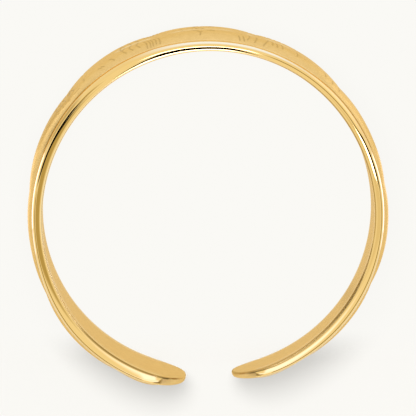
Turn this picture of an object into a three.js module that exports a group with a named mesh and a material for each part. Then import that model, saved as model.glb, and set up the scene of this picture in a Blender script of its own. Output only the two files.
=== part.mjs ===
// An open toe ring: one tongue of gold, flat inside and domed outside, bent into a loop that
// springs open over a toe. Millimetres, +Z up. The ring lies on its side: its axis is +Z, its
// lower side edge is in the plane z = 0, the engraved front faces +Y and the two tips face -Y.
import * as THREE from "three";
import { LoftGeometry } from "three/addons/geometries/LoftGeometry.js";

// Driving sizes. A turn is an angle in degrees about the axis, 0 at +Y and growing towards +X.
const bandWidth = 4;
const tipTurns = { left: -172.85, right: 171.5 };
const loopRadius = 7.5;
const tipFullness = 2.3; // 2 makes the tips half circles, more makes them squarer
const tipDrop = 0.38; // share of the side wall that is lost at the very end of a tip
const tipDropPower = 1.5;

// Across the band, from a side edge inwards: a flat side wall, a polished shoulder, then a dome
// that climbs quickly and is almost level in the middle.
const shoulderWidth = 0.7;
const shoulderRise = 0.1;
const domeFullness = 5;
const cornerCut = 0.05;

// The outside swells in even lobes, with a crease between neighbours.
const lobePitch = 33;
const lobeFullness = 2.5;
const creaseDepth = 0.08;
const frontLobe = { row: 5, turn: -1.5 };

// One row for each lobe, from the left tip round to the right one: the loop as bent by hand.
// Radius is inside, halfway across the band; lean is the slope of the inside face away from
// upright, in degrees; wall is the height of the side wall over the inside; thickness is that
// of the crest of the lobe.
const lobes = [
  { radius: 7.59, lean: -1.5, wall: 0.48, thickness: 0.78 },
  { radius: 7.58, lean: -1.5, wall: 0.49, thickness: 0.79 },
  { radius: 7.47, lean: -0.5, wall: 0.4, thickness: 0.67 },
  { radius: 7.39, lean: -1, wall: 0.39, thickness: 0.8 },
  { radius: 7.51, lean: 2.5, wall: 0.36, thickness: 0.76 },
  { radius: 7.52, lean: 1, wall: 0.3, thickness: 0.74 },
  { radius: 7.51, lean: -1, wall: 0.285, thickness: 0.73 },
  { radius: 7.47, lean: -1.5, wall: 0.345, thickness: 0.69 },
  { radius: 7.51, lean: -0.5, wall: 0.38, thickness: 0.7 },
  { radius: 7.48, lean: 2, wall: 0.46, thickness: 0.71 },
  { radius: 7.48, lean: 2.5, wall: 0.39, thickness: 0.6 },
];

// How finely the loft is cut: sections along the band, and points across one half of the outside.
const turnStep = 3;
const tipSections = 9;
const noseShare = 0.02; // the first section stands this share of the tip radius in from the end
const outsideInsets = [cornerCut, 0.25, 0.45, shoulderWidth, 0.85, 1.05, 1.35, bandWidth / 2];

const tipRadius = bandWidth / 2;
const degrees = THREE.MathUtils.degToRad;

const lobeTurn = (row) => frontLobe.turn + (row - frontLobe.row) * lobePitch;

function bendCurve() {
  const turns = lobes.map((lobe, row) => lobeTurn(row));
  const values = lobes.flatMap((lobe) => [lobe.radius, lobe.lean, lobe.wall, lobe.thickness]);
  return new THREE.CubicInterpolant(turns, values, 4, new Float64Array(4));
}
const bendAt = bendCurve();

// One place along the band: its bend, and how far it is from the nearer tip along the metal.
function stationAt(turn) {
  const clamped = THREE.MathUtils.clamp(turn, lobeTurn(0), lobeTurn(lobes.length - 1));
  const [radius, lean, wall, thickness] = bendAt.evaluate(clamped);
  const toTip = Math.min(turn - tipTurns.left, tipTurns.right - turn);
  return { turn, radius, lean, wall, thickness, fromTip: degrees(toTip) * loopRadius };
}

// How far a section is past the middle of its rounded tip, 0 along the band.
const pastMiddle = (station) => Math.max(0, tipRadius - station.fromTip);

// Half the width of the tongue, full along the band and rounded at each tip.
function halfWidth(station) {
  return (tipRadius ** tipFullness - pastMiddle(station) ** tipFullness) ** (1 / tipFullness);
}

// Distance from the middle of a tip, even along the outline of the tongue.
function tipDistance(station, across) {
  const sum = pastMiddle(station) ** tipFullness + Math.abs(across) ** tipFullness;
  return sum ** (1 / tipFullness);
}

// The side wall is lower round a tip, most of all at its end.
function wallHeight(station, across) {
  const past = pastMiddle(station);
  const reach = past > 0 ? past / tipDistance(station, across) : 0;
  return station.wall * (1 - tipDrop * reach ** tipDropPower);
}

// How far the outside has dropped from the crest of its lobe towards a crease.
function lobeDrop(turn) {
  const place = (turn - frontLobe.turn) / lobePitch;
  const offCentre = 2 * Math.abs(place - Math.round(place));
  return creaseDepth * offCentre ** lobeFullness;
}

// Height of the outside over the inside.
function outsideHeight(station, across) {
  const inset = tipRadius - tipDistance(station, across);
  const wall = wallHeight(station, across);
  const onShoulder = Math.min(inset / shoulderWidth, 1);
  const shoulder = shoulderRise * Math.sin((onShoulder * Math.PI) / 2);
  const onDome = THREE.MathUtils.clamp((inset - shoulderWidth) / (tipRadius - shoulderWidth), 0, 1);
  const crown = station.thickness - wall - shoulderRise - lobeDrop(station.turn);
  return wall + shoulder + crown * (1 - (1 - onDome) ** domeFullness);
}

// Bends a point of the flat tongue round the loop: across from its middle line, height outwards.
function bentPoint(station, across, height) {
  const radius = station.radius - across * Math.tan(degrees(station.lean)) + height;
  const turn = degrees(station.turn);
  return new THREE.Vector3(radius * Math.sin(turn), radius * Math.cos(turn), tipRadius + across);
}

// The closed outline of the band where it is cut across, the inside first.
function crossSection(station) {
  const half = halfWidth(station);
  const narrowing = half / tipRadius;
  const outside = outsideInsets.map((inset) => {
    const across = half - inset * narrowing;
    return [across, outsideHeight(station, across)];
  });
  const wall = [cornerCut, wallHeight(station, half) - cornerCut].map((height) => [half, height]);
  const innerEdge = [half - cornerCut * narrowing, 0];
  const upperHalf = [innerEdge, ...wall, ...outside];
  const lowerHalf = upperHalf.map(([across, height]) => [-across, height]);
  const outline = [[0, 0], ...lowerHalf, ...upperHalf.slice(0, -1).reverse()];
  return outline.map(([across, height]) => bentPoint(station, across, height));
}

// Turns of all sections: close together round the two tips, then evenly along the band.
function sectionTurns() {
  const tipSpan = THREE.MathUtils.radToDeg(tipRadius / loopRadius);
  const inTip = Array.from({ length: tipSections }, (_, i) => {
    const share = i / tipSections;
    return tipSpan * (noseShare + (1 - noseShare) * (1 - Math.cos((share * Math.PI) / 2)));
  });
  const first = tipTurns.left + tipSpan;
  const last = tipTurns.right - tipSpan;
  const steps = Math.round((last - first) / turnStep);
  const along = Array.from({ length: steps + 1 }, (_, i) => first + ((last - first) * i) / steps);
  return [
    ...inTip.map((turn) => tipTurns.left + turn),
    ...along,
    ...inTip.map((turn) => tipTurns.right - turn).reverse(),
  ];
}

function goldMaterial() {
  return new THREE.MeshStandardMaterial({ color: 0xe3bd72, roughness: 0.35, metalness: 1 });
}

function ringBand() {
  const sections = sectionTurns().map((turn) => crossSection(stationAt(turn)));
  const geometry = new LoftGeometry(sections, { capStart: true, capEnd: true });
  const mesh = new THREE.Mesh(geometry, goldMaterial());
  mesh.name = "ring_band";
  return mesh;
}

const toeRing = new THREE.Group();
toeRing.add(ringBand());

export default toeRing;
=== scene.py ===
import math
import random
import bpy
from mathutils import Matrix, Vector


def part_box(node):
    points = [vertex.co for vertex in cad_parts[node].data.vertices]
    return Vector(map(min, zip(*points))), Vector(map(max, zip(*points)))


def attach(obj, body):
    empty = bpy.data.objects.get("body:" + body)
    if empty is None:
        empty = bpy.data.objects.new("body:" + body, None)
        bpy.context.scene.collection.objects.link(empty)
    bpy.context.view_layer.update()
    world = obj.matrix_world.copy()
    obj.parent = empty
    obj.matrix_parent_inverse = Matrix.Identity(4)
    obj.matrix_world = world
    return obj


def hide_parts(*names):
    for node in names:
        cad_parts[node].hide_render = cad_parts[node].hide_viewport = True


# An open toe ring in satin and polished gold. It lies on its side on a pale table, with its
# axis upright, the engraved front towards +Y and the gap between its tips towards -Y.

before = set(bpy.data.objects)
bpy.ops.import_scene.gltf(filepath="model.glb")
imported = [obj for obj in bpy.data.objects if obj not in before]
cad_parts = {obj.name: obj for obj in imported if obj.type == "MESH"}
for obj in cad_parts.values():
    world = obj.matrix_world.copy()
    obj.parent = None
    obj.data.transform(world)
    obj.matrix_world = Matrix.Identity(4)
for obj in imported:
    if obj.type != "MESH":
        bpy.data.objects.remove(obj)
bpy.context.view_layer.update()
bandLow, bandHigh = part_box("ring_band")
mm = 0.001  # in metres
rad = math.pi / 180  # a degree
bandHeight = (bandHigh.z - bandLow.z) / mm  # the width of the band, which stands upright here
print("frame loaded, the ring is", [round(side / mm, 2) for side in bandHigh - bandLow], "mm")


class Wire:  # a node socket that sums can be written with
    def __init__(self, socket):
        self.socket = socket
        self.tree = socket.id_data

    def maths(self, operation, *others):
        return mathsNode(self.tree, operation, self, *others)

    def __add__(self, other):
        return self.maths("ADD", other)

    def __radd__(self, other):
        return self.maths("ADD", other)

    def __sub__(self, other):
        return self.maths("SUBTRACT", other)

    def __rsub__(self, other):
        return mathsNode(self.tree, "SUBTRACT", other, self)

    def __mul__(self, other):
        return self.maths("MULTIPLY", other)

    def __rmul__(self, other):
        return self.maths("MULTIPLY", other)

    def __truediv__(self, other):
        return self.maths("DIVIDE", other)

    def __rtruediv__(self, other):
        return mathsNode(self.tree, "DIVIDE", other, self)

    def __pow__(self, other):
        return self.maths("POWER", other)

    def __neg__(self):
        return self * -1

    def sin(self):
        return self.maths("SINE")

    def cos(self):
        return self.maths("COSINE")

    def abs(self):
        return self.maths("ABSOLUTE")

    def most(self, other):
        return self.maths("MAXIMUM", other)

    def clamp(self, low=0.0, high=1.0):
        return self.most(low).maths("MINIMUM", high)

    def ramp(self, start, end):  # 0 at start, 1 at end, eased at both
        return addNode(self.tree, "ShaderNodeMapRange", {"interpolation_type": "SMOOTHSTEP"},
                       {0: self, 1: start, 2: end, 3: 0.0, 4: 1.0})

    def between(self, rise, fall):  # up through one pair of values and down through the next
        return self.ramp(*rise) * (1 - self.ramp(*fall))

    def around(self, zone):  # 1 near the middle of a zone, 0 from its far distance on
        return 1 - (self - zone["middle"]).abs().ramp(zone["near"], zone["far"])


def addNode(tree, kind, settings=None, values=None, out=0):
    made = tree.nodes.new(kind)
    for name, value in (settings or {}).items():
        setattr(made, name, value)
    for key, value in (values or {}).items():
        if isinstance(value, Wire):
            tree.links.new(value.socket, made.inputs[key])
        else:
            made.inputs[key].default_value = value
    return Wire(made.outputs[out]) if made.outputs else made


def mathsNode(tree, operation, *values):
    return addNode(tree, "ShaderNodeMath", {"operation": operation}, dict(enumerate(values)))


def mix(tree, share, first, second):  # colours
    return addNode(tree, "ShaderNodeMix", {"data_type": "RGBA"}, {0: share, 6: first, 7: second}, 2)


def split(tree, vector):
    parts = addNode(tree, "ShaderNodeSeparateXYZ", {}, {0: vector})
    return [Wire(socket) for socket in parts.socket.node.outputs]


def emptyMaterial(name):
    material = bpy.data.materials.new(name)
    material.use_nodes = True
    material.node_tree.nodes.clear()
    return material


def placed(name, data):
    made = bpy.data.objects.new(name, data)
    bpy.context.scene.collection.objects.link(made)
    return made


camera = {
    "tilt": 8.75,  # degrees from straight above, towards the engraved front
    "roll": -1.0,
    "distance": 500.0,  # mm
    "across": 18.82,  # mm that the view is wide at the ring
    "aimRight": 0.0475,  # mm from the middle of the band
    "aimUp": 0.05,
    "sensor": 36.0,
    "clip": (0.01, 10.0),  # metres
}


def makeCamera():
    tilt, roll = math.radians(camera["tilt"]), math.radians(camera["roll"])
    back = Vector((math.sin(roll) * math.cos(tilt), math.sin(tilt), math.cos(roll) * math.cos(tilt)))
    right = Vector((math.cos(roll), 0, -math.sin(roll)))
    up = back.cross(right)
    aim = Vector((0, 0, bandHeight / 2)) + right * camera["aimRight"] + up * camera["aimUp"]
    data = bpy.data.cameras.new("camera")
    data.sensor_width = camera["sensor"]
    data.lens = camera["sensor"] * camera["distance"] / camera["across"]
    data.clip_start, data.clip_end = camera["clip"]
    eye = placed("camera", data)
    eye.rotation_mode = "QUATERNION"
    eye.rotation_quaternion = Matrix([[right[k], up[k], back[k]] for k in range(3)]).to_quaternion()
    eye.location = (aim + back * camera["distance"]) * mm
    bpy.context.scene.camera = eye


makeCamera()
print("camera placed")


band = {  # in mm, unless a line says otherwise
    "tipTurns": (-172.85, 171.5),  # degrees about the axis, 0 at +Y and growing towards +X
    "tipDrop": 0.38,  # share of the side wall that is lost at the end of a tip
    "tipDropPower": 1.5,
    "tipFullness": 2.3,  # 2 makes half circles of the tips, more makes them squarer
    "loopRadius": 7.5,
    "shoulderWidth": 0.7,
    "shoulderRise": 0.1,
    "domeFullness": 5.0,
    "lobePitch": 33.0,
    "lobeFullness": 2.5,
    "creaseDepth": 0.08,
    "frontLobe": 5,  # its row in the table of lobes
    "frontTurn": -1.5,
    "innerCorner": 0.07,  # radii of the rounded edges
    "rightCorner": 0.06,  # more on the right arm
    "rightCornerTurns": (100.0, 120.0),
    "tipCorner": 0.02,  # more at the nose of each tip
    "rollOff": 0.2,
    "arris": 0.08,
    "rimFillet": 0.01,
    "wallBulge": 16.0,  # degrees that the side wall turns across its height
    "rollOffSlope": 34.0,
    "shoulderSlope": 18.0,
    "grooveHalfWidth": 0.055,
    "grooveDepth": 0.018,
    "grooveStart": (0.0, 0.08),  # share of the dome over which the grooves deepen
    "engravedTurn": 59.0,
    "joinWithin": 2e-7,  # metres
    "alongSteps": {"tip": 24, "arm": 90, "front": 440},  # of the mesh
    "acrossSteps": {"inside": 4, "innerCorner": 6, "wall": 6, "rollOff": 7, "arris": 4, "shoulder": 4,
                    "rim": 2, "dome": 37},
}
lastStation = 2 * band["alongSteps"]["tip"] + 2 * band["alongSteps"]["arm"] + band["alongSteps"]["front"]
halfRound = sum(band["acrossSteps"].values())

# the engraving is cut by hand: groups of short strokes, rows of dashes, and a small ring as the heart
# of a flower, in mm along and across the flat tongue from its middle, and the same over both halves
engraving = {
    # the first stroke, the step to the next, where they start and end, how far they lean and bow
    "strokeGroups": [
        {"at": -7.45, "step": 0.27, "count": 5, "foot": 0.03, "tip": 0.75, "lean": 0.14, "bow": 0.06},
        {"at": -6.50, "step": 0.05, "count": 2, "foot": -0.40, "tip": -0.08, "lean": 0.00, "bow": 0.00},
        {"at": -5.63, "step": 0.00, "count": 1, "foot": 0.45, "tip": 0.88, "lean": 0.04, "bow": 0.03},
        {"at": -4.82, "step": 0.12, "count": 2, "foot": 0.90, "tip": 1.00, "lean": 0.12, "bow": 0.00},
        {"at": -4.25, "step": 0.00, "count": 1, "foot": 0.72, "tip": 1.02, "lean": 0.18, "bow": 0.02},
        {"at": -3.71, "step": 0.00, "count": 1, "foot": 0.02, "tip": 0.45, "lean": 0.04, "bow": 0.04},
        {"at": -3.52, "step": 0.31, "count": 3, "foot": 0.15, "tip": 1.00, "lean": 0.02, "bow": -0.12},
        {"at": -2.66, "step": 0.14, "count": 5, "foot": 0.40, "tip": 1.16, "lean": 0.08, "bow": 0.04},
        {"at": -0.62, "step": 0.00, "count": 1, "foot": 0.30, "tip": 0.76, "lean": 0.32, "bow": 0.00},
        {"at": -0.30, "step": 0.00, "count": 1, "foot": 0.74, "tip": 1.06, "lean": 0.00, "bow": 0.02},
        {"at": 0.00, "step": 0.16, "count": 2, "foot": 0.50, "tip": 0.62, "lean": 0.14, "bow": 0.00},
        {"at": 1.30, "step": 0.20, "count": 2, "foot": 0.88, "tip": 1.16, "lean": 0.08, "bow": 0.00},
        {"at": 1.77, "step": 0.31, "count": 2, "foot": 0.45, "tip": 1.10, "lean": -0.06, "bow": 0.04},
        {"at": 2.58, "step": 0.00, "count": 1, "foot": 0.40, "tip": 1.17, "lean": -0.16, "bow": 0.03},
        {"at": 2.69, "step": 0.22, "count": 3, "foot": 0.52, "tip": 0.95, "lean": 0.06, "bow": 0.03},
        {"at": 3.85, "step": 0.00, "count": 1, "foot": 0.50, "tip": 0.92, "lean": 0.04, "bow": 0.03},
        {"at": 5.30, "step": 0.42, "count": 3, "foot": 0.56, "tip": 0.98, "lean": 0.04, "bow": 0.03},
    ],
    "dashRows": [
        {"at": -7.34, "step": 0.35, "count": 4, "across": 1.00},
        {"at": -6.20, "step": 0.10, "count": 3, "across": 1.01},
        {"at": -1.05, "step": 1.18, "count": 1, "across": 0.25},
        {"at": -0.32, "step": 0.08, "count": 2, "across": 0.74},
        {"at": 4.26, "step": 0.50, "count": 1, "across": 0.32},
    ],
    "dashLength": 0.03,
    "heart": {"at": -0.30, "radius": 0.16, "points": 12},
    "points": 6,  # on each stroke
    "seed": 7,
    "unsteady": 0.04,
}


def engravingLines():
    chance = random.Random(engraving["seed"])
    points = engraving["points"]
    lines = []
    for group in engraving["strokeGroups"]:
        for k in range(group["count"]):
            along = group["at"] + group["step"] * k + chance.uniform(-1, 1) * engraving["unsteady"] / 2
            foot = group["foot"] + chance.uniform(-1, 1) * engraving["unsteady"]
            tip = group["tip"] + chance.uniform(-1, 1) * engraving["unsteady"]
            lean, bow = group["lean"], group["bow"] * 4
            steps = [step / (points - 1) for step in range(points)]
            lines.append([(along + lean * t + bow * t * (1 - t), foot + (tip - foot) * t) for t in steps])
    for row in engraving["dashRows"]:
        for k in range(row["count"]):
            along = row["at"] + row["step"] * k
            lines.append([(along, row["across"]), (along + engraving["dashLength"], row["across"])])
    heart = engraving["heart"]
    radius = heart["radius"]
    ways = [math.pi * 2 * step / heart["points"] for step in range(heart["points"] + 1)]
    lines.append([(heart["at"] + math.sin(way) * radius, math.cos(way) * radius) for way in ways])
    return lines + [[(along, -across) for along, across in line] for line in lines]


def linesObject(lines):
    points, edges = [], []
    for line in lines:
        first = len(points)
        points += [(x, y, 0.0) for x, y in line]
        edges += [(first + k, first + k + 1) for k in range(len(line) - 1)]
    mesh = bpy.data.meshes.new("engravingLines")
    mesh.from_pydata(points, edges, [])
    return bpy.data.objects.new("engravingLines", mesh)


# one row a lobe, from the left tip round to the right one, as in the metal part: mm, with the lean of
# the band and the tilt of its side wall in degrees, then how dark the painted shade line on the inner
# corner is, or below 0 how pale its painted highlight is
lobes = [
    {"radius": 7.59, "lean": -1.5, "thickness": 0.78, "wall": 0.48, "tilt": 6.0, "line": 0.65},
    {"radius": 7.58, "lean": -1.5, "thickness": 0.79, "wall": 0.49, "tilt": 6.0, "line": 0.65},
    {"radius": 7.47, "lean": -0.5, "thickness": 0.67, "wall": 0.40, "tilt": 4.0, "line": -0.6},
    {"radius": 7.39, "lean": -1.0, "thickness": 0.80, "wall": 0.39, "tilt": 4.0, "line": -0.5},
    {"radius": 7.51, "lean": 2.5, "thickness": 0.76, "wall": 0.36, "tilt": 0.0, "line": -0.2},
    {"radius": 7.52, "lean": 1.0, "thickness": 0.74, "wall": 0.30, "tilt": 0.0, "line": 0.0},
    {"radius": 7.51, "lean": -1.0, "thickness": 0.73, "wall": 0.285, "tilt": 0.0, "line": 0.3},
    {"radius": 7.47, "lean": -1.5, "thickness": 0.69, "wall": 0.345, "tilt": 4.0, "line": 0.35},
    {"radius": 7.51, "lean": -0.5, "thickness": 0.70, "wall": 0.38, "tilt": 4.0, "line": 0.2},
    {"radius": 7.48, "lean": 2.0, "thickness": 0.71, "wall": 0.46, "tilt": 6.0, "line": 0.3},
    {"radius": 7.48, "lean": 2.5, "thickness": 0.60, "wall": 0.39, "tilt": 6.0, "line": 0.5},
]
lobeFields = {"bend": ("radius", "lean", "thickness"), "edge": ("wall", "tilt", "line")}


def tableObject():  # a point a lobe, which carries the row as two vectors
    mesh = bpy.data.meshes.new("lobeTable")
    mesh.from_pydata([(0.0, 0.0, float(k)) for k in range(len(lobes))], [], [])
    for name, columns in lobeFields.items():
        field = mesh.attributes.new(name, "FLOAT_VECTOR", "POINT")
        for k, row in enumerate(lobes):
            field.data[k].vector = [row[column] for column in columns]
    return placed("ring", mesh)


def share(place, start, steps):  # how far a place along a run of steps has come, from 0 to 1
    return ((place - start) / steps).clamp()


def tableRow(tree, asked, name, turn):  # one field of the lobe table, read between its rows
    row = (turn - (asked["Front turn"] - asked["Lobe pitch"] * band["frontLobe"])) / asked["Lobe pitch"]
    row = row.clamp(0.0, len(lobes) - 1)
    before = row.maths("FLOOR").maths("MINIMUM", len(lobes) - 2)
    f = row - before
    field = addNode(tree, "GeometryNodeInputNamedAttribute", {"data_type": "FLOAT_VECTOR"}, {"Name": name})
    weights = (  # of a smooth curve through the rows, for the nearest four of them
        f * -0.5 + f * f - f ** 3 * 0.5,
        1 - f * f * 2.5 + f ** 3 * 1.5,
        f * 0.5 + f * f * 2 - f ** 3 * 1.5,
        f ** 3 * 0.5 - f * f * 0.5,
    )
    total = (0.0, 0.0, 0.0)
    for step, weight in zip((-1, 0, 1, 2), weights):
        sampled = addNode(tree, "GeometryNodeSampleIndex", {"data_type": "FLOAT_VECTOR", "clamp": True},
                          {"Geometry": asked["Lobe table"], "Value": field, "Index": before + step})
        scaled = addNode(tree, "ShaderNodeVectorMath", {"operation": "SCALE"},
                         {0: sampled, "Scale": weight})
        total = addNode(tree, "ShaderNodeVectorMath", {"operation": "ADD"}, {0: total, 1: scaled})
    return split(tree, total)


def arc(radius, start, turned):  # a rounded corner: steps across and outwards for angles in radians
    return radius * (turned.cos() - start.cos()), radius * (turned.sin() - start.sin())


def alongBand(asked, station):  # the left tip, an arm, the engraved front, an arm, the right tip
    steps = band["alongSteps"]
    inLeftTip = share(station, 0, steps["tip"])
    inLeftArm = share(station, steps["tip"], steps["arm"])
    inFront = share(station, steps["tip"] + steps["arm"], steps["front"])
    inRightArm = share(station, steps["tip"] + steps["arm"] + steps["front"], steps["arm"])
    inRightTip = share(station, lastStation - steps["tip"], steps["tip"])
    tipSpan = asked["Half width"] / asked["Loop radius"] / rad
    leftCentre = asked["Left tip"] + tipSpan
    rightCentre = asked["Right tip"] - tipSpan
    front = asked["Engraved turn"]
    midTurn = (leftCentre + (-front - leftCentre) * inLeftArm + front * 2 * inFront
               + (rightCentre - front) * inRightArm)
    leftAngle, rightAngle = inLeftTip * (math.pi / 2), inRightTip * (math.pi / 2)
    power = 2 / asked["Tip fullness"]
    reach = rightAngle.sin() ** power - leftAngle.cos() ** power  # of a ray of a tip, along the band
    spread = (leftAngle.sin() * rightAngle.cos()) ** power  # and across it
    return midTurn, reach, spread


def bandSection(tree, asked, walk, midTurn, reach):  # arcs that meet without a break
    shares, start = {}, 0
    for name, steps in band["acrossSteps"].items():
        shares[name] = share(walk, start, steps)
        start += steps
    half = asked["Half width"]
    quarter = half * 0 + math.pi / 2
    crest = tableRow(tree, asked, "bend", midTurn)[2]
    wall, tilt, line = tableRow(tree, asked, "edge", midTurn)
    wall = wall * (1 - asked["Tip drop"] * reach.abs() ** band["tipDropPower"])
    onRight = midTurn.ramp(*band["rightCornerTurns"]) * (1 - reach.abs())
    corner = asked["Inner corner"] + asked["Tip corner"] * reach.abs() ** 2
    corner = corner + asked["Right corner"] * onRight
    roll, arris, fillet = asked["Roll off"], asked["Arris"], asked["Rim fillet"]
    wallIn = (tilt - asked["Wall bulge"] / 2) * rad
    wallOut = (tilt + asked["Wall bulge"] / 2) * rad
    rolled = asked["Roll off slope"] * rad
    lip = (90 - asked["Shoulder slope"]) * rad
    rise = wall + asked["Shoulder rise"]
    shoulderRadius = (asked["Shoulder width"] - roll * (wallOut.cos() - rolled.cos())
                      - arris * (rolled.cos() - lip.cos())) / lip.cos()
    wallRadius = (rise - corner * (1 + wallIn.sin()) - roll * (rolled.sin() - wallOut.sin())
                  - arris * (lip.sin() - rolled.sin())
                  - shoulderRadius * (1 - lip.sin())) / (wallOut.sin() - wallIn.sin())
    insideHalf = half - corner * wallIn.cos() - wallRadius * (1 - wallIn.cos())
    across, out = insideHalf * shares["inside"], half * 0
    for name, radius, first, last in (
        ("innerCorner", corner, -quarter, wallIn),
        ("wall", wallRadius, wallIn, wallOut),
        ("rollOff", roll, wallOut, rolled),
        ("arris", arris, rolled, lip),
        ("shoulder", shoulderRadius, lip, quarter),
    ):
        stepAcross, stepOut = arc(radius, first, first + (last - first) * shares[name])
        across, out = across + stepAcross, out + stepOut
    # the domed face starts in a small fillet, then climbs to its crest
    lobePlace = (midTurn - asked["Front turn"]) / asked["Lobe pitch"]
    offCentre = (lobePlace - lobePlace.maths("ROUND")).abs() * 2
    drop = asked["Crease depth"] * offCentre ** asked["Lobe fullness"]
    filletFoot = half - asked["Shoulder width"] - wallRadius * (1 - wallOut.cos())
    crown = crest - rise - drop
    flank = filletFoot.maths("ARCTAN2", crown * asked["Dome fullness"])
    stepAcross, stepOut = arc(-fillet, quarter, quarter + (flank - quarter) * shares["rim"])
    across, out = across + stepAcross, out + stepOut
    climb = (crown - fillet * (1 - flank.sin())) * (1 - (1 - shares["dome"]) ** asked["Dome fullness"])
    across = across - (filletFoot - fillet * flank.cos()) * shares["dome"]
    return across, out + climb, shares, line


# where each finish of the band, each painted highlight and each painted shade starts and ends: turns
# in degrees, the rest as shares of an arc
finishes = {
    "domeSatin": (0.2, 0.5),  # of the rim fillet
    "edgeLine": (0.5, 3.0),  # steps past the inside face
    "edgeLineEnd": (0.0, 0.15),  # of the wall
    "noseSatin": (0.45, 0.48),  # of the reach of a tip
    "noseLineEnd": (0.75, 0.9),
    # painted highlight on the shoulder in the middle of the front
    "paintedPale": {"middle": 7.0, "near": 12.0, "far": 36.0, "shoulder": (0.0, 0.15), "rim": (0.0, 0.5)},
    # painted shade in the crease between shoulder and dome, along the front and both arms
    "paintedCrease": {"shoulder": (0.65, 0.9), "dome": (0.0, 0.01),
               "front": (36.0, 50.0), "frontEnd": (66.0, 71.0),
               "arm": (101.0, 108.0), "armEnd": (128.0, 160.0), "armShare": 0.8},
    # painted highlight over that crease near the front
    "paintedCreaseHighlight": {"turns": (34.0, 48.0), "share": 0.35},
    # painted shade on the inside face of the right arm
    "paintedInsideShade": {"middle": 121.5, "near": 0.0, "far": 7.0, "share": 0.2},
    "rubbed": {"corner": (0.7, 0.95), "wall": (0.0, 0.05), "turns": (100.0, 110.0)},
    "dulled": {"middle": -115.0, "near": 13.0, "far": 20.0, "wall": (0.0, 0.12)},
    # painted shade on the inner corner of the right arm
    "paintedCornerShade": {"turns": (104.0, 114.0), "share": 0.75, "fade": (124.0, 145.0), "faded": 0.3},
    # painted highlight on the inner corner of the left arm
    "lit": {"middle": -107.5, "near": 7.0, "far": 13.0, "share": 0.6},
    "crest": (0.3, 0.5),  # of the dome
}


def bandFinishes(walk, midTurn, reach, shares, line):
    inset = band["acrossSteps"]["inside"]
    offFront = midTurn.abs()
    # the domed face is satin from its fillet on, and the inside face and the nose are too
    # the inner corner band that carries the painted shade line
    corner = walk.ramp(*(inset + step for step in finishes["edgeLine"]))
    corner = corner * (1 - shares["wall"].ramp(*finishes["edgeLineEnd"]))
    nose = reach.abs().ramp(*finishes["noseSatin"])
    nose = nose * (1 - corner * (1 - reach.abs().ramp(*finishes["noseLineEnd"])))
    satin = 1 - walk.ramp(inset - 1, inset + 1) + shares["rim"].ramp(*finishes["domeSatin"])
    satin = satin.most(nose)
    # the shoulder gets a painted highlight in the middle of the front, and painted shade in its crease
    # along both arms
    paintedPale, paintedCrease, paintedCreaseHighlight, paintedInsideShade = (finishes[name] for name in ("paintedPale", "paintedCrease", "paintedCreaseHighlight", "paintedInsideShade"))
    paintedPaleShoulder = shares["shoulder"].ramp(*paintedPale["shoulder"]) * (1 - shares["rim"].ramp(*paintedPale["rim"]))
    inPaintedCrease = shares["shoulder"].ramp(*paintedCrease["shoulder"]) * (1 - shares["dome"].ramp(*paintedCrease["dome"]))
    paintedCreaseShade = inPaintedCrease * (offFront.between(paintedCrease["front"], paintedCrease["frontEnd"])
                      + offFront.between(paintedCrease["arm"], paintedCrease["armEnd"]) * paintedCrease["armShare"])
    # a painted highlight lightens the painted crease shade near the front
    paintedCreaseLight = inPaintedCrease * (1 - offFront.ramp(*paintedCreaseHighlight["turns"])) * paintedCreaseHighlight["share"]
    # painted shade on the inside face of the right arm
    insideShade = (1 - walk.ramp(inset - 1, inset)) * midTurn.around(paintedInsideShade) * paintedInsideShade["share"]
    # further round each arm the inner corner is satin too, with painted shade on the right and a painted
    # highlight on the left
    rubbed, dulled, paintedCornerShade, lit = (finishes[name] for name in ("rubbed", "dulled", "paintedCornerShade", "lit"))
    pastInside = walk.ramp(inset, inset + 1)
    # this inner corner band turns satin with wear, and carries the painted shade and painted highlight
    # below
    wearAndPaintedLight = pastInside * (1 - shares["innerCorner"].ramp(*rubbed["corner"]))
    wearAndPaintedLight = wearAndPaintedLight * (1 - shares["wall"].ramp(*rubbed["wall"]))
    dullCorner = pastInside * (1 - shares["wall"].ramp(*dulled["wall"])) * midTurn.around(dulled)
    satin = satin.most(wearAndPaintedLight * midTurn.ramp(*rubbed["turns"])).most(dullCorner)
    # painted shade on the right inner corner
    cornerShade = wearAndPaintedLight * midTurn.ramp(*paintedCornerShade["turns"])
    cornerShade = cornerShade * (paintedCornerShade["share"] - midTurn.ramp(*paintedCornerShade["fade"]) * paintedCornerShade["faded"])
    # painted highlight on the left inner corner
    litCorner = wearAndPaintedLight * midTurn.around(lit) * lit["share"]
    # foot sums painted light: above 0 a painted highlight, below 0 painted shade
    foot = (paintedPaleShoulder * midTurn.around(paintedPale)).most(paintedCreaseLight) + litCorner - paintedCreaseShade - insideShade - cornerShade
    crest = shares["dome"].ramp(*finishes["crest"])
    return {"satin": satin, "line": line * corner, "foot": foot, "crest": crest}


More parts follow.
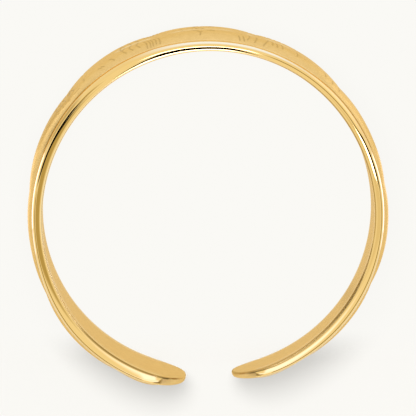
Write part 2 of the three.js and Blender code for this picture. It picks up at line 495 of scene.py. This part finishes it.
def bandTree(inputs):
    tree = bpy.data.node_groups.new("band", "GeometryNodeTree")
    tree.is_modifier = True
    face = tree.interface
    face.new_socket(name="Lobe table", in_out="INPUT", socket_type="NodeSocketGeometry")
    face.new_socket(name="Engraving", in_out="INPUT", socket_type="NodeSocketObject")
    face.new_socket(name="Gold", in_out="INPUT", socket_type="NodeSocketMaterial")
    for name in inputs:
        face.new_socket(name=name, in_out="INPUT", socket_type="NodeSocketFloat")
    face.new_socket(name="Band", in_out="OUTPUT", socket_type="NodeSocketGeometry")
    entry = tree.nodes.new("NodeGroupInput")
    asked = {socket.name: Wire(socket) for socket in entry.outputs if socket.name}

    # a grid with a step of one, so that its positions are the numbers of its rows and columns
    shape = addNode(tree, "GeometryNodeMeshGrid", {}, {0: float(lastStation), 1: 2.0 * halfRound,
                                                       2: lastStation + 1, 3: 2 * halfRound + 1})
    station, column, _ = split(tree, addNode(tree, "GeometryNodeInputPosition"))
    station = station + lastStation / 2
    walk = halfRound - column.abs()  # 0 in the middle of the inside, then over the edge to the crest
    midTurn, reach, spread = alongBand(asked, station)
    across, out, shares, line = bandSection(tree, asked, walk, midTurn, reach)

    # the engraving lies on the flat tongue, and is cut before that is bent
    turn = midTurn + reach * across / asked["Loop radius"] / rad
    flatAlong = turn * rad * asked["Loop radius"]
    flatAcross = column.maths("SIGN") * across * spread
    flat = addNode(tree, "ShaderNodeCombineXYZ", {}, {0: flatAlong, 1: flatAcross})
    drawing = addNode(tree, "GeometryNodeObjectInfo", {}, {"Object": asked["Engraving"]}, "Geometry")
    near = addNode(tree, "GeometryNodeProximity", {"target_element": "EDGES"},
                   {"Geometry": drawing, "Sample Position": flat}, "Distance")
    groove = (1 - near.ramp(0.0, asked["Groove half width"])) * shares["dome"].ramp(*band["grooveStart"])

    # bent round the loop
    radius, lean, _ = tableRow(tree, asked, "bend", turn)
    out = radius - flatAcross * (lean * rad).maths("TANGENT") + out - groove * asked["Groove depth"]
    bent = addNode(tree, "ShaderNodeCombineXYZ", {}, {
        0: out * (turn * rad).sin() * mm,
        1: out * (turn * rad).cos() * mm,
        2: (asked["Half width"] + flatAcross) * mm,
    })
    fields = bandFinishes(walk, midTurn, reach, shares, line)
    fields.update({"cut": groove, "along": flatAlong, "across": flatAcross})
    for name, value in fields.items():
        shape = addNode(tree, "GeometryNodeStoreNamedAttribute", {"data_type": "FLOAT", "domain": "POINT"},
                        {"Geometry": shape, "Name": name, "Value": value})
    shape = addNode(tree, "GeometryNodeSetPosition", {}, {"Geometry": shape, "Position": bent})
    shape = addNode(tree, "GeometryNodeMergeByDistance", {},
                    {"Geometry": shape, "Distance": band["joinWithin"]})
    shape = addNode(tree, "GeometryNodeFlipFaces", {}, {0: shape})
    shape = addNode(tree, "GeometryNodeSetShadeSmooth", {}, {"Geometry": shape, "Shade Smooth": True})
    shape = addNode(tree, "GeometryNodeRealizeInstances", {}, {0: shape})
    shape = addNode(tree, "GeometryNodeSetMaterial", {}, {"Geometry": shape, "Material": asked["Gold"]})
    tree.links.new(shape.socket, tree.nodes.new("NodeGroupOutput").inputs[0])
    return tree


def makeBand(material):
    inputs = {
        "Half width": bandHeight / 2,
        "Loop radius": band["loopRadius"],
        "Left tip": band["tipTurns"][0],
        "Right tip": band["tipTurns"][1],
        "Engraved turn": band["engravedTurn"],
        "Shoulder width": band["shoulderWidth"],
        "Shoulder rise": band["shoulderRise"],
        "Shoulder slope": band["shoulderSlope"],
        "Dome fullness": band["domeFullness"],
        "Lobe pitch": band["lobePitch"],
        "Lobe fullness": band["lobeFullness"],
        "Crease depth": band["creaseDepth"],
        "Front turn": band["frontTurn"],
        "Inner corner": band["innerCorner"],
        "Roll off": band["rollOff"],
        "Tip corner": band["tipCorner"],
        "Tip fullness": band["tipFullness"],
        "Tip drop": band["tipDrop"],
        "Right corner": band["rightCorner"],
        "Arris": band["arris"],
        "Roll off slope": band["rollOffSlope"],
        "Rim fillet": band["rimFillet"],
        "Wall bulge": band["wallBulge"],
        "Groove half width": band["grooveHalfWidth"],
        "Groove depth": band["grooveDepth"],
    }
    drawing = linesObject(engravingLines())
    ring = tableObject()
    bending = ring.modifiers.new("bending", "NODES")
    bending.node_group = bandTree(inputs)
    inputs.update({"Engraving": drawing, "Gold": material})
    for item in bending.node_group.interface.items_tree:
        if item.name in inputs:
            bending[item.identifier] = inputs[item.name]
    made = bpy.data.meshes.new_from_object(ring.evaluated_get(bpy.context.evaluated_depsgraph_get()))
    ring.modifiers.remove(bending)
    ring.data = made
    made.name = "ring"
    bpy.data.objects.remove(drawing)
    return ring


gold = {
    "satin": ((0.79, 0.54, 0.205, 1), (0.89, 0.62, 0.25, 1)),
    "satinTint": (0.92, 0.78, 0.50, 1),
    "satinRoughness": {"base": 0.42, "mottle": 0.1, "cut": 0.15, "wearAndPaintedLight": 0.04},
    # painted shade in the engraved grooves
    "grooveShadeColour": (0.40, 0.24, 0.08, 1),
    "grooveShadeShare": 0.6,
    # painted highlight
    "paintedPaleColour": (1.0, 0.84, 0.52, 1),
    "paintedPaleShare": 0.8,
    # painted shade
    "paintedShadeColour": (0.34, 0.21, 0.05, 1),
    "polished": ((0.90, 0.62, 0.22, 1), (0.92, 0.64, 0.24, 1)),
    "polishedTint": (1.0, 0.95, 0.80, 1),
    "polishedRoughness": {"base": 0.04, "mottle": 0.02},
    # painted highlight on the polished metal
    "polishedPaintedPale": (1.0, 0.95, 0.86, 1),
    # painted shade line on the inner corner
    "paintedLineColour": (0.26, 0.15, 0.03, 1),
    # features to the metre, detail, and the share of each in the colour of the satin
    "grain": {"scale": 15000.0, "detail": 3.0, "share": 0.3, "edges": (0.35, 0.65)},
    "patch": {"scale": 4500.0, "detail": 2.0, "share": 0.4, "edges": (0.3, 0.7)},
    "mottle": {"scale": 900.0, "detail": 2.0, "share": 0.3},
    "bump": {"strength": 0.4, "distance": 0.00001},
    # painted glint on the crest
    "paintedGlintColour": (1.0, 0.88, 0.64, 1),
    "glintFade": 1.0,  # degrees at each end of a rubbed mark
    "glintEven": 0.3,
    "glintPatchy": 1.4,
    # where the crest is rubbed smoother and carries a painted glint, as turns from and to, and mm across
    # from the middle
    "wearAndPaintedLight": [
        {"from": -30.0, "to": -20.0, "across": 0.04, "half": 0.24, "share": 0.55},
        {"from": -19.9, "to": -18.3, "across": 0.0, "half": 0.22, "share": 0.9},
        {"from": -11.0, "to": 8.0, "across": 0.22, "half": 0.22, "share": 0.45},
        {"from": 12.8, "to": 14.6, "across": 0.10, "half": 0.26, "share": 0.65},
        {"from": 18.5, "to": 27.0, "across": 0.12, "half": 0.22, "share": 0.5},
    ],
}


def goldMaterial():
    material = emptyMaterial("gold")
    tree = material.node_tree
    place = addNode(tree, "ShaderNodeTexCoord", {}, {}, "Object")

    def field(name):
        return addNode(tree, "ShaderNodeAttribute", {"attribute_name": name}, {}, "Fac")

    def noise(kind):
        return addNode(tree, "ShaderNodeTexNoise", {},
                       {"Vector": place, "Scale": gold[kind]["scale"], "Detail": gold[kind]["detail"]})

    satin, cut = field("satin").clamp(), field("cut").clamp()
    line, foot, onCrest = field("line"), field("foot"), field("crest")
    grain, mottle, patch = noise("grain"), noise("mottle"), noise("patch")
    turn, across = field("along") * (1 / rad / band["loopRadius"]), field("across")
    # rows of painted glints on the crest, where the satin is also rubbed smoother
    wearAndPaintedLight, fade = onCrest * 0, gold["glintFade"]
    for rub in gold["wearAndPaintedLight"]:
        rise, fall = ((rub[end] - fade, rub[end] + fade) for end in ("from", "to"))
        within = turn.between(rise, fall)
        near = 1 - (across - rub["across"]).abs().ramp(0.0, rub["half"])
        wearAndPaintedLight = wearAndPaintedLight + within * near * rub["share"]
    wearAndPaintedLight = (wearAndPaintedLight * (patch * gold["glintPatchy"] + gold["glintEven"]) * onCrest).clamp()
    bump = addNode(tree, "ShaderNodeBump", {}, {
        "Strength": gold["bump"]["strength"],
        "Distance": gold["bump"]["distance"],
        "Height": grain * satin,
    })
    speckle = (mottle * gold["mottle"]["share"]
               + patch.ramp(*gold["patch"]["edges"]) * gold["patch"]["share"]
               + grain.ramp(*gold["grain"]["edges"]) * gold["grain"]["share"])
    colour = mix(tree, speckle, *gold["satin"])
    # painted light from the foot field: a painted highlight above 0, painted shade below 0
    colour = mix(tree, (foot * gold["paintedPaleShare"]).clamp(), colour, gold["paintedPaleColour"])
    colour = mix(tree, (-foot).clamp(), colour, gold["paintedShadeColour"])
    # painted glint on the crest
    colour = mix(tree, wearAndPaintedLight, colour, gold["paintedGlintColour"])
    # painted shade in the engraved grooves
    colour = mix(tree, cut * gold["grooveShadeShare"], colour, gold["grooveShadeColour"])
    shiny = mix(tree, mottle, *gold["polished"])
    # the same painted highlight and painted shade on the polished metal
    shiny = mix(tree, foot.clamp(), shiny, gold["polishedPaintedPale"])
    shiny = mix(tree, (-foot).clamp(), shiny, gold["paintedShadeColour"])
    # painted shade line along the inner corner where line is above 0, a painted highlight where it is below
    # 0
    shiny = mix(tree, line.clamp(), shiny, gold["paintedLineColour"])
    shiny = mix(tree, (-line).clamp(), shiny, gold["paintedPaleColour"])
    uneven, dullness, gloss = mottle - 0.5, gold["satinRoughness"], gold["polishedRoughness"]
    dullRoughness = dullness["base"] + uneven * dullness["mottle"]
    dullRoughness = dullRoughness - cut * dullness["cut"] - wearAndPaintedLight * dullness["wearAndPaintedLight"]  # smoother there
    dull = addNode(tree, "ShaderNodeBsdfPrincipled", {}, {
        "Base Color": colour,
        "Metallic": 1.0,
        "Roughness": dullRoughness,
        "Specular Tint": gold["satinTint"],
        "Normal": bump,
    })
    bright = addNode(tree, "ShaderNodeBsdfPrincipled", {}, {
        "Base Color": shiny,
        "Metallic": 1.0,
        "Roughness": gloss["base"] + uneven * gloss["mottle"],
        "Specular Tint": gold["polishedTint"],
    })
    both = addNode(tree, "ShaderNodeMixShader", {}, {0: satin, 1: bright, 2: dull})
    addNode(tree, "ShaderNodeOutputMaterial", {}, {"Surface": both})
    return material


ring = makeBand(goldMaterial())
print("ring made,", len(ring.data.polygons), "faces")


studio = {
    "roomLevel": 1.0,
    "leastGreen": 0.75,  # shares of green and blue that are left in the darkest browns
    "leastBlue": 0.15,
    "coolGreen": 0.08,  # how far green follows blue in a cool white
    "backdrop": (0.956, 0.947, 0.913),
    # where each far panel hangs: its turn about the ring and its height, with half sizes, in degrees
    "panels": [
        {"turn": 49.0, "height": 52.0, "halfTurn": 22.0, "halfHeight": 12.0, "level": 0.45, "soft": 10.0},
        {"turn": -56.0, "height": 43.0, "halfTurn": 8.0, "halfHeight": 20.0, "level": 0.5, "soft": 10.0},
        {"turn": 130.0, "height": 34.0, "halfTurn": 38.0, "halfHeight": 10.0, "level": 0.3, "soft": 6.0},
        {"turn": -130.0, "height": 34.0, "halfTurn": 38.0, "halfHeight": 10.0, "level": 0.3, "soft": 6.0},
        {"turn": 81.0, "height": 39.0, "halfTurn": 10.0, "halfHeight": 23.0, "level": 0.0, "soft": 2.0},
        {"turn": -73.0, "height": 37.0, "halfTurn": 15.5, "halfHeight": 25.0, "level": 0.0, "soft": 3.0},
        {"turn": -79.0, "height": 62.0, "halfTurn": 9.0, "halfHeight": 15.0, "level": 0.0, "soft": 5.0},
    ],
    # cards near the ring: the middle of each and its two half sides in mm, its level, how blue it is
    # and the share of it that fades at the edges
    "cards": {
        "lampHigh": {"middle": (-0.6, 14.6, 20.0), "sides": ((6.4, 0, 0), (0, 2.1, 0)),
                     "level": 6.0, "cool": 1.6, "soft": 0.1},
        "lampLow": {"middle": (-0.35, 1.85, 20.0), "sides": ((1.7, 0, 0), (0, 1.6, 0)),
                    "level": 6.0, "cool": 1.6, "soft": 0.1},
        "lens": {"middle": (-0.4, 8.1, 19.8), "sides": ((3.0, 0.8, 0), (0, 4.8, 0)),
                 "level": 0.0, "cool": 1.0, "soft": 0.04},
        "dimLeft": {"middle": (-17.5, -4, 36.0), "sides": ((11.5, 0, 0), (0, 11, 0)),
                    "level": 0.53, "cool": 0.8, "soft": 0.2},
        "dimRight": {"middle": (17, -2, 36.0), "sides": ((10, 0, 0), (0, 9, 0)),
                     "level": 0.85, "cool": 1.0, "soft": 0.2},
        "whiteEdge": {"middle": (19, 1.9, 35.0), "sides": ((3.2, 0, 0), (0, 2.8, 0)),
                      "level": 6.0, "cool": 1.6, "soft": 0.05},
        "creamLow": {"middle": (3.5, -21, 35.9), "sides": ((12.5, 0, 0), (0, 11.5, 0)),
                     "level": 1.5, "cool": 1.8, "soft": 0.25},
        "creamFar": {"middle": (1, -35, 35.8), "sides": ((22, 0, 0), (0, 6, 0)),
                     "level": 1.4, "cool": 1.6, "soft": 0.2},
        "brownLeft": {"middle": (-9.27, 5.4, 0.02), "sides": ((-1.575, 0.873, 0), (1.1, 2.0, 0)),
                      "level": 0.6, "cool": 1.0, "soft": 0.3},
        "warmRight": {"middle": (8.1, 6.8, 0.02), "sides": ((1.4, 1.17, 0), (-1.8, 2.15, 0)),
                      "level": 1.15, "cool": 1.1, "soft": 0.3},
        "sideLeft": {"middle": (-14.1, 7.5, 0.02), "sides": ((-3.1, 1.65, 0), (2.1, 4.0, 0)),
                     "level": 1.7, "cool": 1.1, "soft": 0.3},
        "sideRight": {"middle": (13.5, 8.1, 0.02), "sides": ((3.0, 1.8, 0), (-2.3, 3.9, 0)),
                      "level": 1.6, "cool": 1.1, "soft": 0.3},
        "whiteLeft": {"middle": (-9.5, 0.8, 0.03), "sides": ((0.62, 0, 0), (0, 2.2, 0)),
                      "level": 1.8, "cool": 1.5, "soft": 0.04},
        "whiteRight": {"middle": (9.5, 0.6, 0.03), "sides": ((0.62, 0, 0), (0, 2.3, 0)),
                       "level": 1.8, "cool": 1.5, "soft": 0.04},
        "creamLeft": {"middle": (-9.5, -2.1, 0.02), "sides": ((0.62, 0, 0), (0, 0.8, 0)),
                      "level": 1.4, "cool": 1.4, "soft": 0.2},
        "creamRight": {"middle": (9.5, -2.1, 0.02), "sides": ((0.62, 0, 0), (0, 0.5, 0)),
                       "level": 1.4, "cool": 1.4, "soft": 0.2},
    },
    "lamp": {"place": (-4.5, 10.0, 50.0), "size": 22.0},
    "table": {
        "half": 2.0,  # metres
        "albedo": 0.1,
        "lampShare": 0.45,  # of the light on the table, which the ring can shade
        "roomShare": 0.065,
        "farShare": 0.05,  # of both beyond the fade, so that only the tips throw a shadow
        "fade": (-5.8, -7.4),  # mm along Y
    },
}


def cardColour(level, cool=1.0):  # what is darker than the room is a warm brown
    warm = min(level, studio["roomLevel"])
    green = studio["leastGreen"] + (1 - studio["leastGreen"]) * warm
    blue = studio["leastBlue"] + (1 - studio["leastBlue"]) * warm
    return (level, level * green * (1 + (cool - 1) * studio["coolGreen"]), level * blue * cool, 1)


def makeWorld():
    world = bpy.data.worlds.new("studio")
    bpy.context.scene.world = world
    world.use_nodes = True
    tree = world.node_tree
    tree.nodes.clear()
    x, y, z = split(tree, addNode(tree, "ShaderNodeTexCoord", {}, {}, "Generated"))
    turn = x.maths("ARCTAN2", y) / rad
    height = z.clamp(-1, 1).maths("ARCSINE") / rad
    colour = cardColour(studio["roomLevel"])
    for panel in studio["panels"]:
        away = (turn - panel["turn"]).abs()
        away = away.maths("MINIMUM", (away - 360).abs())
        soft = panel["soft"] / 2
        inTurn = 1 - away.ramp(panel["halfTurn"] - soft, panel["halfTurn"] + soft)
        offHeight = (height - panel["height"]).abs()
        inHeight = 1 - offHeight.ramp(panel["halfHeight"] - soft, panel["halfHeight"] + soft)
        colour = mix(tree, inTurn * inHeight, colour, cardColour(panel["level"]))
    seen = addNode(tree, "ShaderNodeLightPath", {}, {}, "Is Camera Ray")
    glow = addNode(tree, "ShaderNodeBackground", {}, {0: colour, 1: 1.0})
    plain = addNode(tree, "ShaderNodeBackground", {}, {0: (*studio["backdrop"], 1), 1: 1.0})
    both = addNode(tree, "ShaderNodeMixShader", {}, {0: seen, 1: glow, 2: plain})
    addNode(tree, "ShaderNodeOutputWorld", {}, {"Surface": both})


square = [(-1, -1), (1, -1), (1, 1), (-1, 1)]


def makeCard(name, card):
    middle = Vector(card["middle"])
    first, second = (Vector(side) for side in card["sides"])
    mesh = bpy.data.meshes.new(name)
    mesh.from_pydata([(middle + first * u + second * v) * mm for u, v in square], [], [(0, 1, 2, 3)])
    spread = mesh.uv_layers.new(name="spread")
    for loop in mesh.loops:
        spread.data[loop.index].uv = square[loop.vertex_index]
    material = emptyMaterial(name)
    tree = material.node_tree
    u, v, _ = split(tree, addNode(tree, "ShaderNodeUVMap", {"uv_map": "spread"}))
    edge = 1 - card["soft"] * 2
    filled = (1 - u.abs().ramp(edge, 1.0)) * (1 - v.abs().ramp(edge, 1.0))
    clear = addNode(tree, "ShaderNodeBsdfTransparent")
    lit = addNode(tree, "ShaderNodeEmission", {}, {0: cardColour(card["level"], card["cool"]), 1: 1.0})
    both = addNode(tree, "ShaderNodeMixShader", {}, {0: filled, 1: clear, 2: lit})
    addNode(tree, "ShaderNodeOutputMaterial", {}, {"Surface": both})
    mesh.materials.append(material)
    hung = placed(name, mesh)
    hung.visible_camera = hung.visible_diffuse = hung.visible_shadow = hung.visible_transmission = False


def makeTable():
    board, lamp = studio["table"], studio["lamp"]
    mesh = bpy.data.meshes.new("table")
    mesh.from_pydata([(x * board["half"], y * board["half"], 0) for x, y in square], [], [(0, 1, 2, 3)])
    material = emptyMaterial("table")
    tree = material.node_tree
    lampX, lampY, lampZ = (v * mm for v in lamp["place"])
    x, y, _ = split(tree, addNode(tree, "ShaderNodeTexCoord", {}, {}, "Object"))
    away = (x - lampX) ** 2 + (y - lampY) ** 2
    fall = (lampZ * lampZ / (away + lampZ * lampZ)) ** 2
    near = y.ramp(*(v * mm for v in board["fade"]))
    matte = board["farShare"] + (1 - board["farShare"]) * near
    glow = 1.0 - matte * (board["roomShare"] + fall * board["lampShare"])
    lit = addNode(tree, "ShaderNodeEmission", {}, {0: (*studio["backdrop"], 1), 1: glow})
    white = [v * board["albedo"] for v in studio["backdrop"]]
    matt = addNode(tree, "ShaderNodeBsdfDiffuse", {}, {0: mix(tree, matte, (0, 0, 0, 1), (*white, 1))})
    both = addNode(tree, "ShaderNodeAddShader", {}, {0: lit, 1: matt})
    addNode(tree, "ShaderNodeOutputMaterial", {}, {"Surface": both})
    mesh.materials.append(material)
    table = placed("table", mesh)
    return table


def makeLamp(table):  # it lights the table only, and the ring shades that
    lamp, board = studio["lamp"], studio["table"]
    data = bpy.data.lights.new("lamp", "AREA")
    data.shape = "DISK"
    data.size = lamp["size"] * mm
    data.energy = board["lampShare"] / board["albedo"] * (math.pi * lamp["place"][2] * mm) ** 2
    hung = placed("lamp", data)
    hung.location = Vector(lamp["place"]) * mm
    hung.visible_camera = False
    lighted = bpy.data.collections.new("lighted")
    lighted.objects.link(table)
    hung.light_linking.receiver_collection = lighted


makeWorld()
makeLamp(makeTable())
for name, card in studio["cards"].items():
    makeCard(name, card)
bpy.context.scene.view_settings.view_transform = "Standard"
print("table and light placed")

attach(ring, "root")
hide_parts("ring_band")
